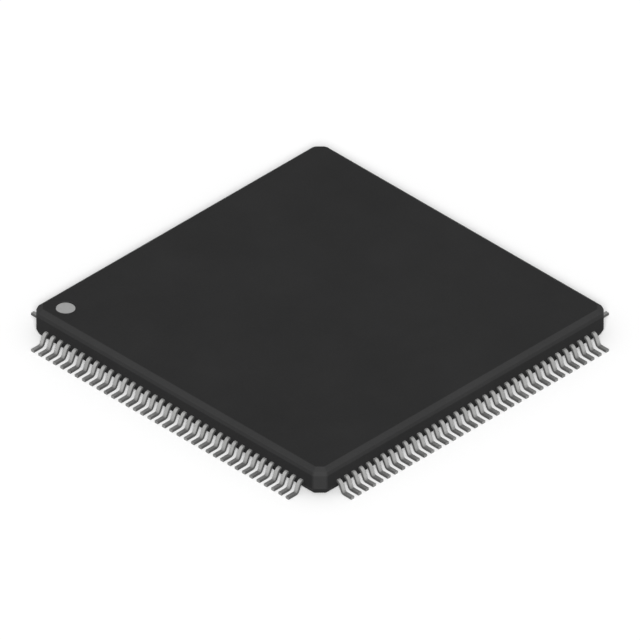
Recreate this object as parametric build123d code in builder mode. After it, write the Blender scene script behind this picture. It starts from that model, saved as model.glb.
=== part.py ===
from build123d import *
from math import cos, radians, sin, sqrt, tan
import os

# Microprocessor in a low-profile quad flat package: a moulded body with a row of gull-wing leads on
# each side. Millimetres and degrees. The origin is the middle of the seating plane, under the body,
# and +Z is up. Pin 1 is at the corner at -X, +Y, and the pins count on towards -Y.

# Lead frame: the sheet that the leads, the die paddle and its tie bars are stamped from
sheet_thickness = 0.15
leads_per_side = 36
lead_pitch = 0.5
lead_width = 0.22
row_end_margin = 1.25  # from the corner of the body to the middle of the first lead
frame_rise = 0.41  # underside of the sheet above the underside of the body
leads_per_piece = 4  # leads kept together in one named piece

# Gull-wing part of a lead, outside the body
lead_reach = 1.0  # from the side of the body to the end of the foot
shoulder_length = 0.02  # level stretch before the first bend
bend_angle = 65
bend_radius = 0.1  # on the inside of both bends
outside_flats = 4  # faces round the outside of a bend: few, because there are so many leads
inside_flats = 1

# Finger of a lead, inside the body
finger_tip_width = 0.14
finger_gap = 1.2  # from the edge of the die paddle to the row of finger tips
finger_corner_gap = 0.65  # from the end of one row of finger tips to the line of the next row

# Moulded body
standoff = 0.15  # air between the seating plane and the underside of the body
body_height = 1.45
corner_chamfer = 0.5
corner_radius = 0.25  # where a chamfer meets the sides, at the widest level
corner_taper = 0.5  # share of each inset that this radius loses
lower_bevel_inset = 0.15
lower_bevel_height = 0.308
flank_inset = 0.08
flank_height = 0.182
top_bevel_inset = 0.24
top_bevel_height = 0.186

# Marks of the mould on the body
mark_first_side_inset = 1.2  # from the side with pin 1 on it to the middle of the pin 1 mark
mark_last_side_inset = 1.32  # from the side with the last pin on it
mark_diameter = 1.0
mark_depth = 0.07
ejector_spacing = 12.0
ejector_diameter = 1.6
ejector_depth = 0.04

# Ink in the pin 1 mark
ink_thickness = 0.02
ink_clearance = 0.025  # all round, to the wall of the recess

# Die and what carries it
die_width = 7.0
die_thickness = 0.28
attach_thickness = 0.03
attach_margin = 0.15  # how far the adhesive spreads past the die
paddle_margin = 0.5  # how far the paddle reaches past the die
paddle_downset = 0.2  # how far the paddle lies below the fingers
tie_bar_width = 0.4
tie_bar_ramp_angle = 45
tie_bar_level = 0.3  # level stretch of a tie bar beside the paddle
tie_bar_cover = 0.15  # body material over the cut end of a tie bar

# Sizes that follow
lead_total = 4 * leads_per_side
body_width = (leads_per_side - 1) * lead_pitch + 2 * row_end_margin
body_side = body_width / 2
body_bottom = standoff
body_top = standoff + body_height
frame_bottom = body_bottom + frame_rise
frame_top = frame_bottom + sheet_thickness
paddle_side = die_width / 2 + paddle_margin
paddle_bottom = frame_bottom - paddle_downset
attach_bottom = paddle_bottom + sheet_thickness
die_bottom = attach_bottom + attach_thickness
finger_end = paddle_side + finger_gap
finger_pitch = 2 * (finger_end - finger_corner_gap) / (leads_per_side - 1)


def sheet_shift(angle):
    """How far the corner of a bent sheet's lower face lies before the corner of its upper face."""
    return sheet_thickness * tan(radians(angle / 2))


# Die: the silicon chip, sawn square
with BuildPart() as die:
    with BuildSketch(Plane.XY.offset(die_bottom)):
        Rectangle(die_width, die_width)
    extrude(amount=die_thickness)
die.part.label = "die"

# Die attach: the film of adhesive that the die was pressed into
with BuildPart() as die_attach:
    with BuildSketch(Plane.XY.offset(attach_bottom)):
        Rectangle(die_width + 2 * attach_margin, die_width + 2 * attach_margin)
    extrude(amount=attach_thickness)
die_attach.part.label = "die_attach"

# Tie bar: a strip from a corner of the paddle, up a ramp to the level of the fingers, and out to the
# corner of the body. It is drawn along +X and turned to each corner.
paddle_corner = paddle_side * sqrt(2)
ramp_start = paddle_corner + tie_bar_level
ramp_end = ramp_start + paddle_downset / tan(radians(tie_bar_ramp_angle))
tie_bar_start = paddle_corner - tie_bar_width
tie_bar_end = (2 * body_side - corner_chamfer) / sqrt(2) - tie_bar_cover
ramp_shift = sheet_shift(tie_bar_ramp_angle)
with BuildPart() as tie_bar:
    with BuildSketch(Plane.XZ):
        with BuildLine():
            Polyline(
                (tie_bar_start, paddle_bottom),
                (ramp_start, paddle_bottom),
                (ramp_end, frame_bottom),
                (tie_bar_end, frame_bottom),
                (tie_bar_end, frame_top),
                (ramp_end - ramp_shift, frame_top),
                (ramp_start - ramp_shift, attach_bottom),
                (tie_bar_start, attach_bottom),
                close=True,
            )
        make_face()
    extrude(amount=tie_bar_width / 2, both=True)

# Die paddle: the plate under the die, in one piece with its four tie bars
with BuildPart() as die_paddle:
    with BuildSketch(Plane.XY.offset(paddle_bottom)):
        Rectangle(2 * paddle_side, 2 * paddle_side)
    extrude(amount=sheet_thickness)
    with PolarLocations(0, 4, start_angle=45):
        add(tie_bar.part)
die_paddle.part.label = "die_paddle"


def bend(centre_x, centre_z, radius, flats):
    """Points round a bend, from its level end to its sloping end. A negative radius turns it over."""
    turns = [radians(bend_angle * step / flats) for step in range(flats + 1)]
    return [(centre_x + radius * sin(turn), centre_z + radius * cos(turn)) for turn in turns]


# Gull wing: the bent strip of a lead outside the body, drawn along +X. Its two bends have the same
# radii: the first is centred under the shoulder, and the second over the heel of the foot.
wing_tip = body_side + lead_reach
outside_radius = bend_radius + sheet_thickness
slope_run = (frame_top - sheet_thickness) / tan(radians(bend_angle))
bends_run = (outside_radius + bend_radius) * tan(radians(bend_angle / 2))
shoulder = (body_side + shoulder_length, frame_top - outside_radius)
heel = (shoulder[0] + bends_run + slope_run, outside_radius)
with BuildPart() as gull_wing:
    with BuildSketch(Plane.XZ):
        with BuildLine():
            Polyline(
                (body_side, frame_top),
                *bend(*shoulder, outside_radius, outside_flats),
                *reversed(bend(*heel, -bend_radius, inside_flats)),
                (wing_tip, sheet_thickness),
                (wing_tip, 0),
                *bend(*heel, -outside_radius, outside_flats),
                *reversed(bend(*shoulder, bend_radius, inside_flats)),
                (body_side, frame_bottom),
                close=True,
            )
        make_face()
    extrude(amount=lead_width / 2, both=True)

# Leads: each has a finger inside the body, which narrows on its straight way to the die, and a gull
# wing outside. A piece holds a few neighbouring leads, named by their pin numbers.
lead_pieces = []
for first in range(0, lead_total, leads_per_piece):
    last = min(first + leads_per_piece, lead_total)
    with BuildPart() as lead_piece:
        for lead in range(first, last):
            side, place = divmod(lead, leads_per_side)
            steps = place - (leads_per_side - 1) / 2
            outer = steps * lead_pitch
            inner = steps * finger_pitch
            side_plane = Plane.XY.rotated((0, 0, 180 + 90 * side))
            with BuildSketch(side_plane.offset(frame_bottom)):
                Polygon(
                    (body_side, outer - lead_width / 2),
                    (body_side, outer + lead_width / 2),
                    (finger_end, inner + finger_tip_width / 2),
                    (finger_end, inner - finger_tip_width / 2),
                    align=None,
                )
            extrude(amount=sheet_thickness)
            with Locations(side_plane.location * Location((0, outer, 0))):
                add(gull_wing.part)
    lead_piece.part.label = f"leads_{first + 1:03d}_{last:03d}"
    lead_pieces.append(lead_piece)

# Moulded body: a square block with chamfered corners, widest in an upright band round the leads,
# bevelled above and below, with a recess for the pin 1 mark and the ejector pins' marks underneath.
# It closes round the inner parts of the leads, the paddle, the adhesive and the die.
body_levels = (
    (body_bottom, lower_bevel_inset),
    (body_bottom + lower_bevel_height, 0),
    (body_top - top_bevel_height - flank_height, 0),
    (body_top - top_bevel_height, flank_inset),
    (body_top, flank_inset + top_bevel_inset),
)
mark_place = (mark_first_side_inset - body_side, body_side - mark_last_side_inset)
with BuildPart() as moulded_body:
    for level, inset in body_levels:
        with BuildSketch(Plane.XY.offset(level)) as outline:
            Rectangle(body_width - 2 * inset, body_width - 2 * inset)
            chamfer(outline.vertices(), corner_chamfer - inset * (2 - sqrt(2)))
            fillet(outline.vertices(), corner_radius - corner_taper * inset)
    loft(ruled=True)
    with BuildSketch(Plane.XY.offset(body_top)):
        with Locations(mark_place):
            Circle(mark_diameter / 2)
    extrude(amount=-mark_depth, mode=Mode.SUBTRACT)
    with BuildSketch(Plane.XY.offset(body_bottom)):
        with GridLocations(ejector_spacing, 0, 2, 1):
            Circle(ejector_diameter / 2)
    extrude(amount=ejector_depth, mode=Mode.SUBTRACT)
    add([die.part, die_attach.part, die_paddle.part], mode=Mode.SUBTRACT)
    add([piece.part for piece in lead_pieces], mode=Mode.SUBTRACT)
moulded_body.part.label = "moulded_body"

# Pin 1 mark: the disc of ink on the floor of the recess
with BuildPart() as pin_one_mark:
    with BuildSketch(Plane.XY.offset(body_top - mark_depth)):
        with Locations(mark_place):
            Circle(mark_diameter / 2 - ink_clearance)
    extrude(amount=ink_thickness)
pin_one_mark.part.label = "pin_one_mark"

os.makedirs("parts", exist_ok=True)
for piece in (moulded_body, pin_one_mark, die, die_attach, die_paddle, *lead_pieces):
    export_step(piece.part, f"parts/{piece.part.label}.step")
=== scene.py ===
from math import cos, pi, radians, sin, sqrt, tan

import bmesh
import bpy
from mathutils import Matrix, Vector


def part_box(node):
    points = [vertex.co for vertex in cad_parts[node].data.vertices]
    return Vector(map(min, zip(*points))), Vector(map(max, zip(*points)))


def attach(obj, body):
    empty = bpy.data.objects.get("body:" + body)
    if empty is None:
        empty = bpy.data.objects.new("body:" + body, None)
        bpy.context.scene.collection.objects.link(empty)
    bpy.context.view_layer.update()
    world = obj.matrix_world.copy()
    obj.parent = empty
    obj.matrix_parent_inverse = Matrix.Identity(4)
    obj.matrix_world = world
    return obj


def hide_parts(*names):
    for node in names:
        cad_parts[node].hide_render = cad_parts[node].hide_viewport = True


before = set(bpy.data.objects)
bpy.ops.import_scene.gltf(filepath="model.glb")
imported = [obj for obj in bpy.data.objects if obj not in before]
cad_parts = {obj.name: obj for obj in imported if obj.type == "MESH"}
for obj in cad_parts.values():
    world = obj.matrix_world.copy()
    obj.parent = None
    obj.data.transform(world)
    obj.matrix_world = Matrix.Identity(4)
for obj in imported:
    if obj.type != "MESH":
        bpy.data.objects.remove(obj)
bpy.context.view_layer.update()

# Moulded body: a square block of black epoxy compound, pressed hot round the lead frame in a steel
# mould. The mould's walls were spark-eroded, so the block comes out with an even, fine matt grain.
# Sizes are in millimetres, here and below. A finished mesh is then scaled to metres.
millimetre = 0.001
body_low, body_high = (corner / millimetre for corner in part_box("moulded_body"))
body_half = body_high.x
corner_chamfer = 0.5
corner_radius = 0.25  # where a chamfer meets the sides, at the widest level
corner_taper = 0.5  # share of each inset that this radius loses
corner_steps = 4
lower_bevel_inset = 0.15
lower_bevel_height = 0.308
flank_inset = 0.08
flank_height = 0.182
top_bevel_inset = 0.24
top_bevel_height = 0.186
flank_top = body_high.z - top_bevel_height
body_levels = (
    (body_low.z, lower_bevel_inset),
    (body_low.z + lower_bevel_height, 0),
    (flank_top - flank_height, 0),
    (flank_top, flank_inset),
    (body_high.z, flank_inset + top_bevel_inset),
)
edge_rounding = 0.02
edge_segments = 2
least_edge_angle = 15  # degrees: what is flatter isn't rounded


def body_outline(level, inset):
    """Points round the body at a level where its sides lie this far inside its widest line."""
    side = body_half - inset
    leg = corner_chamfer - inset * (2 - sqrt(2))
    radius = corner_radius - corner_taper * inset
    to_side = side - radius
    to_chamfer = side - leg - radius * tan(pi / 8)
    points = []
    for quarter in range(4):
        turn = Matrix.Rotation(quarter * pi / 2, 2)
        for centre, start in (((to_side, to_chamfer), 0), ((to_chamfer, to_side), pi / 4)):
            for step in range(corner_steps + 1):
                angle = start + step * pi / 4 / corner_steps
                point = Vector(centre) + radius * Vector((cos(angle), sin(angle)))
                points.append((*(turn @ point), level))
    return points


def placed(name, data):
    """A new object in the scene, at the origin."""
    thing = bpy.data.objects.new(name, data)
    bpy.context.scene.collection.objects.link(thing)
    return thing


def closed_stack(name, outlines):
    """A closed solid through outlines with equally many points, from its lowest to its highest."""
    shape = bmesh.new()
    rings = [[shape.verts.new(point) for point in outline] for outline in outlines]
    for lower, upper in zip(rings, rings[1:]):
        for index in range(len(lower)):
            after = (index + 1) % len(lower)
            shape.faces.new((lower[index], lower[after], upper[after], upper[index]))
    shape.faces.new(reversed(rings[0]))
    shape.faces.new(rings[-1])
    mesh = bpy.data.meshes.new(name)
    shape.to_mesh(mesh)
    shape.free()
    return placed(name, mesh)


def settled(piece):
    """Puts the result of a piece's modifiers in its mesh, and takes the modifiers off."""
    evaluated = piece.evaluated_get(bpy.context.evaluated_depsgraph_get())
    mesh = bpy.data.meshes.new_from_object(evaluated)
    piece.modifiers.clear()
    piece.data = mesh
    mesh.name = piece.name
    return piece


def evenly_shaded(piece, sharpest):
    """Shades a piece smooth, but its flat faces flat, and takes it from millimetres to metres."""
    piece.data.shade_smooth()
    piece.data.set_sharp_from_angle(angle=radians(sharpest))
    evening = piece.modifiers.new("even shading", "WEIGHTED_NORMAL")
    evening.keep_sharp = True
    settled(piece).data.transform(Matrix.Scale(millimetre, 4))


housing = closed_stack("housing", [body_outline(*level) for level in body_levels])
rounding = housing.modifiers.new("mould corner rounding", "BEVEL")
rounding.width = edge_rounding
rounding.segments = edge_segments
rounding.limit_method = "ANGLE"
rounding.angle_limit = radians(least_edge_angle)
settled(housing)

mark_first_side_inset = 1.2  # from the side with pin 1 on it to the middle of the mark
mark_last_side_inset = 1.32  # from the side with the last pin on it
mark_place = (mark_first_side_inset - body_half, body_half - mark_last_side_inset)
mark_radius = 0.5
mark_depth = 0.07
ejector_spacing = 12.0
ejector_radius = 0.8
ejector_depth = 0.04
rim_rounding = 0.01
plug_sides = 64
clear = 0.1  # how far a plug reaches past the face that it is cut into


def round_plug(centre, heights_and_radii):
    """A round solid, to be cut out of the body."""
    turns = [2 * pi * side / plug_sides for side in range(plug_sides)]
    return closed_stack("plug", [
        [(centre[0] + radius * cos(turn), centre[1] + radius * sin(turn), height) for turn in turns]
        for height, radius in heights_and_radii
    ])


plugs = [
    round_plug(mark_place, (
        (body_high.z - mark_depth, mark_radius),
        (body_high.z - rim_rounding, mark_radius),
        (body_high.z, mark_radius + rim_rounding),
        (body_high.z + clear, mark_radius + rim_rounding + clear),
    )),
]
for centre_x in (-ejector_spacing / 2, ejector_spacing / 2):
    plugs.append(round_plug((centre_x, 0), (
        (body_low.z - clear, ejector_radius + rim_rounding + clear),
        (body_low.z, ejector_radius + rim_rounding),
        (body_low.z + rim_rounding, ejector_radius),
        (body_low.z + ejector_depth, ejector_radius),
    )))
for plug in plugs:
    cut = housing.modifiers.new("cut", "BOOLEAN")
    cut.operation = "DIFFERENCE"
    cut.solver = "EXACT"
    cut.object = plug
settled(housing)
for plug in plugs:
    bpy.data.objects.remove(plug)
evenly_shaded(housing, sharpest=40)


class Value:
    """The output of a node. Arithmetic on it adds Math nodes to the same tree."""

    def __init__(self, tree, socket):
        self.tree = tree
        self.socket = socket

    def __add__(self, other):
        return self.tree.math("ADD", self, other)

    def __radd__(self, other):
        return self.tree.math("ADD", other, self)

    def __sub__(self, other):
        return self.tree.math("SUBTRACT", self, other)

    def __rsub__(self, other):
        return self.tree.math("SUBTRACT", other, self)

    def __mul__(self, other):
        return self.tree.math("MULTIPLY", self, other)

    def __rmul__(self, other):
        return self.tree.math("MULTIPLY", other, self)

    def __truediv__(self, other):
        return self.tree.math("DIVIDE", self, other)

    def __rtruediv__(self, other):
        return self.tree.math("DIVIDE", other, self)

    def __pow__(self, other):
        return self.tree.math("POWER", self, other)

    def __rpow__(self, other):
        return self.tree.math("POWER", other, self)

    def __lt__(self, other):
        return self.tree.math("LESS_THAN", self, other)

    def __gt__(self, other):
        return self.tree.math("GREATER_THAN", self, other)

    def __abs__(self):
        return self.tree.math("ABSOLUTE", self)

    def beside(self, output):
        """Another output of the same node."""
        return Value(self.tree, self.socket.node.outputs[output])


class Tree:
    """A node tree that is being built."""

    def __init__(self, node_tree):
        self.node_tree = node_tree

    def add(self, kind, settings=None, inputs=None, output=0):
        """Adds a node with these settings and inputs, and returns one of its outputs."""
        node = self.node_tree.nodes.new(kind)
        for name, value in (settings or {}).items():
            setattr(node, name, value)
        for name, value in (inputs or {}).items():
            if isinstance(value, Value):
                self.node_tree.links.new(value.socket, node.inputs[name])
            else:
                node.inputs[name].default_value = value
        return Value(self, node.outputs[output]) if node.outputs else None

    def math(self, operation, *values):
        """Adds a Math node with these inputs."""
        return self.add("ShaderNodeMath", {"operation": operation}, dict(enumerate(values)))


def new_material(name):
    """A material without nodes, and the tree to build it in."""
    material = bpy.data.materials.new(name)
    material.use_nodes = True
    material.node_tree.nodes.clear()
    return material, Tree(material.node_tree)


def millimetres(tree):
    """Where a point of the surface lies in the part, in millimetres."""
    return tree.add(
        "ShaderNodeVectorMath",
        {"operation": "SCALE"},
        {0: tree.add("ShaderNodeTexCoord", output="Object"), "Scale": 1 / millimetre},
    )


def noise(tree, place, scale, detail=2.0, roughness=0.5):
    """Even noise from 0 to 1, with this many lumps a millimetre."""
    return tree.add(
        "ShaderNodeTexNoise",
        inputs={"Vector": place, "Scale": scale, "Detail": detail, "Roughness": roughness},
    )


def tinted(tree, amount, low, high):
    """A colour between two others, at 0 the low one and at 1 the high one."""
    low, high = (end if isinstance(end, Value) else (*end, 1) for end in (low, high))
    return tree.add(
        "ShaderNodeMix", {"data_type": "RGBA"}, {0: amount, 6: low, 7: high}, output=2
    )


def roughened(tree, height, strength, depth):
    """The surface's direction where this height, of so many millimetres, roughens it."""
    return tree.add(
        "ShaderNodeBump",
        inputs={"Strength": strength, "Distance": depth * millimetre, "Height": height},
    )


def finish_surface(tree, **inputs):
    """Ends a material in a Principled shader with these inputs."""
    inputs = {name.replace("_", " "): value for name, value in inputs.items()}
    shader = tree.add("ShaderNodeBsdfPrincipled", inputs=inputs)
    tree.add("ShaderNodeOutputMaterial", inputs={"Surface": shader})


compound, tree = new_material("moulding compound")
dark_compound = (0.0144, 0.0144, 0.0146)
pale_compound = (0.0364, 0.0364, 0.0367)
moulded_tone = 0.3
bevel_light_amount = 1.16
polished_darker = 0.25
place = millimetres(tree)
grain = noise(tree, place, 14, 3, 0.6)
cloud = noise(tree, place, 0.35, 3)
filler = noise(tree, place, 45, 1)

# Painted highlight on the bevels and chamfers, what faces along no axis and not down: made paler.
facing = tree.add("ShaderNodeTexCoord", output="Normal")
squared = tree.add("ShaderNodeVectorMath", {"operation": "MULTIPLY"}, {0: facing, 1: facing})
flatness = tree.add(
    "ShaderNodeVectorMath", {"operation": "DOT_PRODUCT"}, {0: squared, 1: squared}, output="Value"
)
upward = tree.add("ShaderNodeSeparateXYZ", inputs={0: facing}, output="Z") > -0.1
painted_bevel_light = (1 - flatness) * upward

# The floors of the recess and of the ejector marks are as smooth as the pins that made them.
tolerance = 0.01  # by which each floor lies inside its own mask
along_x = tree.add("ShaderNodeSeparateXYZ", inputs={0: place})
along_y, height = along_x.beside("Y"), along_x.beside("Z")
from_ejector = (abs(along_x) - ejector_spacing / 2) ** 2 + along_y ** 2
from_mark = (along_x - mark_place[0]) ** 2 + (along_y - mark_place[1]) ** 2
ejected = (from_ejector < ejector_radius ** 2) * (height < body_low.z + ejector_depth + tolerance)
recessed = (from_mark < mark_radius ** 2) * (height > body_high.z - mark_depth - tolerance)
polished = ejected + recessed

mottling = (grain - 0.5) * 0.5 + (cloud - 0.5) * 0.4 + (filler - 0.5) * 0.3
# The painted highlight on the bevels and chamfers goes into the shade here.
shade = mottling + moulded_tone + painted_bevel_light * bevel_light_amount - polished * polished_darker
finish_surface(
    tree,
    Base_Color=tinted(tree, shade, dark_compound, pale_compound),
    Roughness=0.65 + (grain - 0.5) * 0.25 + (cloud - 0.5) * 0.1 - polished * 0.25,
    Specular_IOR_Level=0.04,
    Normal=roughened(tree, (grain + filler * 0.4) * (1 - polished), strength=0.6, depth=0.004),
)
housing.data.materials.append(compound)
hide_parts("moulded_body")
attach(housing, "root")

# Leads: 144 strips of copper alloy, stamped side by side in one sheet and bent to gull wings once
# the body was round them. They are plated with matt tin where they show. Inside the body they run
# on as bare fingers.
sheet_thickness = 0.15
frame_rise = 0.41  # underside of the sheet above the underside of the body
frame_bottom = body_low.z + frame_rise
lead_reach = 1.0
shoulder_length = 0.02
bend_angle = radians(65)
bend_radius = 0.175  # of the middle of the sheet
shoulder_height = frame_bottom + sheet_thickness / 2
foot_height = sheet_thickness / 2
shoulder_corner = body_half + shoulder_length + bend_radius * tan(bend_angle / 2)
heel_corner = shoulder_corner + (shoulder_height - foot_height) / tan(bend_angle)
path = bpy.data.meshes.new("lead path")
path.from_pydata(
    [
        (body_half, 0, shoulder_height),
        (shoulder_corner, 0, shoulder_height),
        (heel_corner, 0, foot_height),
        (body_half + lead_reach, 0, foot_height),
    ],
    [(0, 1), (1, 2), (2, 3)],
    [],
)
leads = placed("leads", path)


def new_pattern(name, sizes):
    """A Geometry Nodes tree with these named inputs, and their values by name."""
    kinds = {int: "NodeSocketInt", float: "NodeSocketFloat"}
    node_tree = bpy.data.node_groups.new(name, "GeometryNodeTree")
    for way in ("INPUT", "OUTPUT"):
        node_tree.interface.new_socket("Geometry", in_out=way, socket_type="NodeSocketGeometry")
    for label, size in sizes.items():
        node_tree.interface.new_socket(label, in_out="INPUT", socket_type=kinds[type(size)])
    tree = Tree(node_tree)
    start = tree.add("NodeGroupInput")
    return tree, {label: start.beside(label) for label in ("Geometry", *sizes)}


def vector(tree, **lengths):
    """A vector with these lengths along X, Y or Z."""
    return tree.add("ShaderNodeCombineXYZ", inputs=lengths)


def rounded(tree, curve, radius, steps):
    """The curve with its corners rounded in this many steps."""
    return tree.add(
        "GeometryNodeFilletCurve",
        {"mode": "POLY"},
        {"Curve": curve, "Count": steps, "Radius": radius},
    )


def with_number(tree, shapes, domain, name, value):
    """The shapes with a number stored on each of their points, faces or instances."""
    return tree.add(
        "GeometryNodeStoreNamedAttribute",
        {"data_type": "FLOAT", "domain": domain},
        {"Geometry": shapes, "Name": name, "Value": value},
    )


def number(tree, name):
    """The number that was stored under this name."""
    return tree.add("GeometryNodeInputNamedAttribute", {"data_type": "FLOAT"}, {"Name": name})


def on_four_sides(tree, row):
    """The row and its copies on the other three sides, as one mesh."""
    quarter = tree.add("GeometryNodeInputIndex") * (pi / 2)
    copies = tree.add(
        "GeometryNodeInstanceOnPoints",
        inputs={
            "Points": tree.add("GeometryNodePoints", inputs={"Count": 4}),
            "Instance": row,
            "Rotation": vector(tree, Z=quarter),
        },
    )
    return tree.add("GeometryNodeRealizeInstances", inputs={"Geometry": copies})


def laid_out(piece, tree, sizes, shapes, material):
    """Ends a Geometry Nodes tree in these shapes, and keeps what it makes as the piece's mesh."""
    covered = tree.add(
        "GeometryNodeSetMaterial", inputs={"Geometry": shapes, "Material": material}
    )
    tree.add("NodeGroupOutput", inputs={"Geometry": covered})
    pattern = piece.modifiers.new(tree.node_tree.name, "NODES")
    pattern.node_group = tree.node_tree
    for item in tree.node_tree.interface.items_tree:
        if item.in_out == "INPUT" and item.name in sizes:
            pattern[item.identifier] = sizes[item.name]
    settled(piece).data.materials.pop(index=0)  # the empty slot that Set Material starts with


lead_sizes = {
    "Leads per side": 36,
    "Pitch": 0.5,
    "Width": 0.22,
    "Thickness": sheet_thickness,
    "Edge rounding": 0.02,
    "Edge steps": 1,
    "Bend radius": bend_radius,
    "Bend steps": 4,
    "Body side": body_half,
    "Finger end": 5.2,
    "Finger pitch": 0.26,
    "Finger tip width": 0.14,
}
tree, size = new_pattern("lead rows", lead_sizes)

# One lead: the sheet's section along the path, with its end in the body's side drawn out inwards.
hairline = 0.001  # tells that end from all that lies further out
strip = tree.add("GeometryNodeMeshToCurve", inputs={"Mesh": size["Geometry"]})
strip = rounded(tree, strip, size["Bend radius"], size["Bend steps"])
section = tree.add(
    "GeometryNodeCurvePrimitiveQuadrilateral",
    inputs={"Width": size["Width"], "Height": size["Thickness"]},
)
wing = tree.add(
    "GeometryNodeCurveToMesh",
    inputs={
        "Curve": tree.add("GeometryNodeSetCurveNormal", {"mode": "Z_UP"}, {"Curve": strip}),
        "Profile Curve": rounded(tree, section, size["Edge rounding"], size["Edge steps"]),
        "Fill Caps": True,
    },
)
along = tree.add("ShaderNodeSeparateXYZ", inputs={0: tree.add("GeometryNodeInputPosition")})
across = along.beside("Y")
lead = tree.add(
    "GeometryNodeExtrudeMesh",
    {"mode": "FACES"},
    {
        "Mesh": wing,
        "Selection": along < size["Body side"] + hairline,
        "Offset": vector(tree, X=size["Finger end"] - size["Body side"]),
    },
)
lead = with_number(tree, lead, "POINT", "finger_tip", lead.beside("Top"))
# Faces turned sideways, the sheared sides and the edge chamfers, are marked for the tin to darken:
facing = tree.add("ShaderNodeSeparateXYZ", inputs={0: tree.add("GeometryNodeInputNormal")})
# partly duller sheared metal, partly painted shade.
sideways = abs(facing.beside("Y")) > 0.5
lead = with_number(tree, lead, "FACE", "sheared_and_shaded", sideways)

# A row of them, with the tips of their fingers narrowed and drawn together.
middle = (size["Leads per side"] - 1) / 2
spots = tree.add(
    "GeometryNodeMeshLine",
    inputs={
        "Count": size["Leads per side"],
        "Start Location": vector(tree, Y=middle * size["Pitch"] * -1),
        "Offset": vector(tree, Y=size["Pitch"]),
    },
)
row = tree.add("GeometryNodeInstanceOnPoints", inputs={"Points": spots, "Instance": lead})
steps = tree.add("GeometryNodeInputIndex") - middle
row = with_number(tree, row, "INSTANCE", "steps", steps)
row = tree.add("GeometryNodeRealizeInstances", inputs={"Geometry": row})
steps = number(tree, "steps")
narrowing = (across - steps * size["Pitch"]) * (size["Finger tip width"] / size["Width"] - 1)
drawing_in = steps * (size["Finger pitch"] - size["Pitch"])
shift = vector(tree, Y=number(tree, "finger_tip") * (narrowing + drawing_in))
row = tree.add("GeometryNodeSetPosition", inputs={"Geometry": row, "Offset": shift})
lead_tone = tree.add(
    "FunctionNodeRandomValue",
    {"data_type": "FLOAT"},
    {"ID": tree.add("GeometryNodeInputMeshIsland"), "Seed": 7},
    output=1,
)
rows = with_number(tree, on_four_sides(tree, row), "POINT", "lead_tone", lead_tone)

# The tin covers what stands out of the body. Painted light makes it paler from the body down to the
# foot than on the foot. Its sides and edge chamfers are darker, partly duller sheared metal and
# partly painted shade.
tin, shading = new_material("matt tin plate")
dull_tin = (0.065, 0.065, 0.064)
bright_tin = (0.42, 0.42, 0.415)
dark_copper = (0.52, 0.25, 0.14)
bright_copper = (0.80, 0.46, 0.30)
foot_tone = 0.444
upper_light_amount = 0.37
sheared_and_shaded_darker = 0.75
upper_light_start = 0.16  # height above the board
upper_light_fade = 0.1
place = millimetres(shading)
tone = shading.add("ShaderNodeAttribute", {"attribute_name": "lead_tone"}, output="Fac")
sheared_and_shaded = shading.add("ShaderNodeAttribute", {"attribute_name": "sheared_and_shaded"}, output="Fac")
crystals = noise(shading, place, 30, 2)
stain = noise(shading, place, 1.7, 3)
along_x = shading.add("ShaderNodeSeparateXYZ", inputs={0: place})
along_y, height = along_x.beside("Y"), along_x.beside("Z")
# Painted light: paler above the foot, fading in over a short height.
above_foot = shading.math("MAXIMUM", (height - upper_light_start) / upper_light_fade, 0)
painted_upper_light = shading.math("MINIMUM", above_foot, 1)
mottling = (tone - 0.5) * 0.15 + (crystals - 0.5) * 0.25 + (stain - 0.5) * 0.35
# Painted light above the foot, and painted shade on the sides and edge chamfers, go into the tone
# here.
shade = (mottling + foot_tone + painted_upper_light * upper_light_amount) * (1 - sheared_and_shaded * sheared_and_shaded_darker)
plate = tinted(shading, shade, dull_tin, bright_tin)
bare = tinted(shading, stain, dark_copper, bright_copper)
plated = shading.math("MAXIMUM", abs(along_x), abs(along_y)) > body_half - tolerance
finish_surface(
    shading,
    Base_Color=tinted(shading, plated, bare, plate),
    Metallic=0.6,
    Roughness=0.45 + (crystals - 0.5) * 0.25 + sheared_and_shaded * 0.15,
    Normal=roughened(shading, crystals, strength=0.35, depth=0.003),
)
laid_out(leads, tree, lead_sizes, rows, tin)
for name in ("steps", "finger_tip"):  # which only the tree needed
    leads.data.attributes.remove(leads.data.attributes[name])
evenly_shaded(leads, sharpest=30)
lead_nodes = [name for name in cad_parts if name.startswith("leads_")]
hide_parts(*lead_nodes)
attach(leads, "root")

# Pin 1 mark: a disc of pale ink, stamped on the floor of the recess at the first lead's corner. It
# shows where the pins are counted from.
ink, tree = new_material("marking ink")
dark_ink = (0.265, 0.265, 0.265)
pale_ink = (0.345, 0.345, 0.345)
place = millimetres(tree)
patches = noise(tree, place, 6, 3)
specks = noise(tree, place, 40, 1)
shade = (patches - 0.5) * 0.8 + (specks - 0.5) * 0.5 + 0.5
finish_surface(
    tree,
    Base_Color=tinted(tree, shade, dark_ink, pale_ink),
    Roughness=0.6 + (patches - 0.5) * 0.2,
    Specular_IOR_Level=0.3,
    Normal=roughened(tree, specks, strength=0.4, depth=0.004),
)
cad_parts["pin_one_mark"].material_slots[0].material = ink

# Die paddle: a plate of the same copper sheet as the leads, hung in the body by a tie bar at each
# corner. Rolling left fine streaks in it.
copper, tree = new_material("rolled copper")
place = millimetres(tree)
stretched = tree.add("ShaderNodeMapping", inputs={"Vector": place, "Scale": (1.0, 14.0, 1.0)})
streaks = noise(tree, stretched, 1.5, 4)
tarnish = noise(tree, place, 0.9, 3)
shade = (streaks - 0.5) * 0.6 + (tarnish - 0.5) * 0.9 + 0.5
finish_surface(
    tree,
    Base_Color=tinted(tree, shade, dark_copper, bright_copper),
    Metallic=1.0,
    Roughness=0.34 + (streaks - 0.5) * 0.2,
    Normal=roughened(tree, streaks, strength=0.3, depth=0.003),
)
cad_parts["die_paddle"].material_slots[0].material = copper

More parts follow.
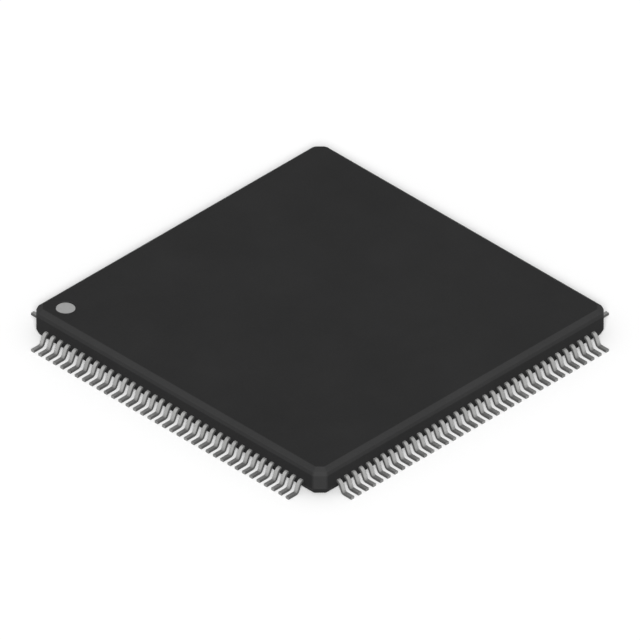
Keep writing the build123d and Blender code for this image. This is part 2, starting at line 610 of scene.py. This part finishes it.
# Die attach: epoxy filled with silver flakes. It was dispensed on the paddle and squeezed out to a
# thin film when the die was pressed into it.
adhesive, tree = new_material("silver-filled epoxy")
pale_epoxy = (0.48, 0.48, 0.46)
dark_epoxy = (0.27, 0.27, 0.26)
place = millimetres(tree)
flakes = tree.add(
    "ShaderNodeTexVoronoi", inputs={"Vector": place, "Scale": 40.0}, output="Distance"
)
smears = noise(tree, place, 3, 3)
finish_surface(
    tree,
    Base_Color=tinted(tree, (smears - 0.5) * 0.8 + flakes * 0.5, pale_epoxy, dark_epoxy),
    Metallic=0.3,
    Roughness=0.45 + flakes * 0.3,
    Normal=roughened(tree, flakes, strength=0.5, depth=0.004),
)
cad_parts["die_attach"].material_slots[0].material = adhesive

# Die: the silicon chip, sawn square from a polished wafer. Blocks of circuits cover its top, inside
# a ring of square aluminium pads for the bond wires.
die_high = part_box("die")[1] / millimetre
pad_inset = 0.15  # from the edge of the die to the middle of the pads
pad_line = die_high.x - pad_inset
pad_pitch = 0.183
pad_half = 0.055
silicon, tree = new_material("silicon with circuits")
bare_silicon = (0.055, 0.057, 0.07)
dense_circuits = (0.16, 0.15, 0.19)
aluminium = (0.75, 0.75, 0.76)
place = millimetres(tree)
along_x = tree.add("ShaderNodeSeparateXYZ", inputs={0: place})
along_y, height = along_x.beside("Y"), along_x.beside("Z")
on_top = height > die_high.z - tolerance
outermost = tree.math("MAXIMUM", abs(along_x), abs(along_y))
innermost = tree.math("MINIMUM", abs(along_x), abs(along_y))
from_line = abs(outermost - pad_line)
from_pad = abs(tree.math("FRACT", innermost / pad_pitch) - 0.5) * pad_pitch
pads = (from_line < pad_half) * (from_pad < pad_half) * (innermost < pad_line) * on_top
blocks = tree.add(
    "ShaderNodeTexVoronoi",
    {"distance": "CHEBYCHEV"},
    {"Vector": place, "Scale": 0.9},
    output="Color",
)
block_tone = tree.add("ShaderNodeSeparateColor", inputs={0: blocks})
stretched = tree.add("ShaderNodeMapping", inputs={"Vector": place, "Scale": (1.0, 9.0, 1.0)})
lines = noise(tree, stretched, 4, 2)
circuits = (block_tone * 0.7 + lines * 0.4) * on_top
ground = tinted(tree, circuits, bare_silicon, dense_circuits)
finish_surface(
    tree,
    Base_Color=tinted(tree, pads, ground, aluminium),
    Metallic=0.25 + pads * 0.75,
    Roughness=0.16 + circuits * 0.12 + pads * 0.15,
)
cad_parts["die"].material_slots[0].material = silicon

# Bond wires: one from each pad of the die to the finger of its lead, of drawn copper, welded on at
# both ends. Each rises straight from its pad and comes down flat to the finger.
landing = 0.15  # from the tip of the finger to the end of the wire
finger_length = body_half - lead_sizes["Finger end"]
spread = (lead_sizes["Pitch"] - lead_sizes["Finger pitch"]) / finger_length
wire_sizes = {
    "Wires per side": lead_sizes["Leads per side"],
    "Wire radius": 0.0125,
    "Wire sides": 5,
    "Points along a wire": 9,
    "Pad line": pad_line,
    "Pad pitch": pad_pitch,
    "Pad height": die_high.z,
    "Finger line": lead_sizes["Finger end"] + landing,
    "Finger pitch": lead_sizes["Finger pitch"] + landing * spread,
    "Finger height": frame_bottom + sheet_thickness,
    "Loop swell": 0.377,  # the loop rises about 0.6 of this above the line between its ends
    "Steepness at pad": 7.0,
    "Flatness at finger": 1.3,
    "Lateness outwards": 1.6,
}
bond_wires = placed("bond_wires", bpy.data.meshes.new("bond_wires"))
tree, size = new_pattern("bond wire loops", wire_sizes)
strand = tree.add(
    "GeometryNodeResampleCurve",
    inputs={
        "Curve": tree.add("GeometryNodeCurvePrimitiveLine"),
        "Count": size["Points along a wire"],
    },
)
strands = tree.add(
    "GeometryNodeDuplicateElements",
    {"domain": "SPLINE"},
    {"Geometry": strand, "Amount": size["Wires per side"]},
)
steps = strands.beside("Duplicate Index") - (size["Wires per side"] - 1) / 2
part_way = tree.add("GeometryNodeSplineParameter", output="Factor")
back = 1 - part_way
run = part_way ** size["Lateness outwards"]
rise = (1 - back ** size["Steepness at pad"]) * back ** size["Flatness at finger"]
ends = size["Pad height"] + (size["Finger height"] - size["Pad height"]) * part_way
route = vector(
    tree,
    X=size["Pad line"] + (size["Finger line"] - size["Pad line"]) * run,
    Y=steps * (size["Pad pitch"] + (size["Finger pitch"] - size["Pad pitch"]) * run),
    Z=ends + size["Wire radius"] + rise * size["Loop swell"],
)
strands = tree.add("GeometryNodeSetPosition", inputs={"Geometry": strands, "Position": route})
section = tree.add(
    "GeometryNodeCurvePrimitiveCircle",
    inputs={"Resolution": size["Wire sides"], "Radius": size["Wire radius"]},
)
row = tree.add(
    "GeometryNodeCurveToMesh",
    inputs={"Curve": strands, "Profile Curve": section, "Fill Caps": True},
)
laid_out(bond_wires, tree, wire_sizes, on_four_sides(tree, row), copper)
evenly_shaded(bond_wires, sharpest=80)
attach(bond_wires, "root")

# Floor: a wide sheet of white card that the part lies on. To the camera it is nearly white. To what
# stands on it, it is a mid grey, so that little light comes back from it.
floor_reach = 2.0  # metres
floor_gap = 0.000002
floor_mesh = bpy.data.meshes.new("floor")
floor_mesh.from_pydata(
    [
        (x * floor_reach, y * floor_reach, -floor_gap)
        for x, y in ((-1, -1), (1, -1), (1, 1), (-1, 1))
    ],
    [],
    [(0, 1, 2, 3)],
)
floor = placed("floor", floor_mesh)
card, tree = new_material("white card")
lighting_card = (0.45, 0.45, 0.45)
visible_card = (0.97, 0.97, 0.97)


def seen_rays(tree):
    """1 for what is seen, also in metal or through glass, and 0 for light that falls on things."""
    direct = tree.add("ShaderNodeLightPath", output="Is Camera Ray")
    indirect = tree.math(
        "MAXIMUM", direct.beside("Is Glossy Ray"), direct.beside("Is Transmission Ray")
    )
    return tree.math("MAXIMUM", direct, indirect)


finish_surface(
    tree,
    Base_Color=tinted(tree, seen_rays(tree), lighting_card, visible_card),
    Roughness=0.9,
    Specular_IOR_Level=0.0,
)
floor_mesh.materials.append(card)

# Light: one broad lamp from behind the camera, and an even pale surround, which is plain white
# where it is seen.
view_azimuth = radians(-45)
view_elevation = radians(35.264)
towards_camera = Vector((
    sin(view_azimuth) * cos(view_elevation),
    -cos(view_azimuth) * cos(view_elevation),
    sin(view_elevation),
))
towards_part = towards_camera.to_track_quat("Z", "Y").to_euler()
key = bpy.data.lights.new("key", "SUN")
key.energy = 3.3
key.angle = radians(16)
placed("key", key).rotation_euler = towards_part
surround_light = 0.45
world = bpy.data.worlds.new("surround")
world.use_nodes = True
world.node_tree.nodes.clear()
tree = Tree(world.node_tree)
brightness = surround_light + seen_rays(tree) * (1 - surround_light)
surround = tree.add(
    "ShaderNodeBackground", inputs={"Color": (1, 1, 1, 1), "Strength": brightness}
)
tree.add("ShaderNodeOutputWorld", inputs={"Surface": surround})
bpy.context.scene.world = world

# Camera: far off with parallel rays, as the picture was drawn. It looks down on one corner, with
# the pin 1 mark at its left.
aim_height = 0.00079  # metres, near the middle of the part
distance = 0.5
camera_data = bpy.data.cameras.new("camera")
camera_data.type = "ORTHO"
camera_data.ortho_scale = 0.0311
camera_data.clip_start = 0.01
camera_data.clip_end = 5
camera = placed("camera", camera_data)
camera.location = Vector((0, 0, aim_height)) + towards_camera * distance
camera.rotation_euler = towards_part
bpy.context.scene.camera = camera
bpy.context.scene.view_settings.view_transform = "Standard"
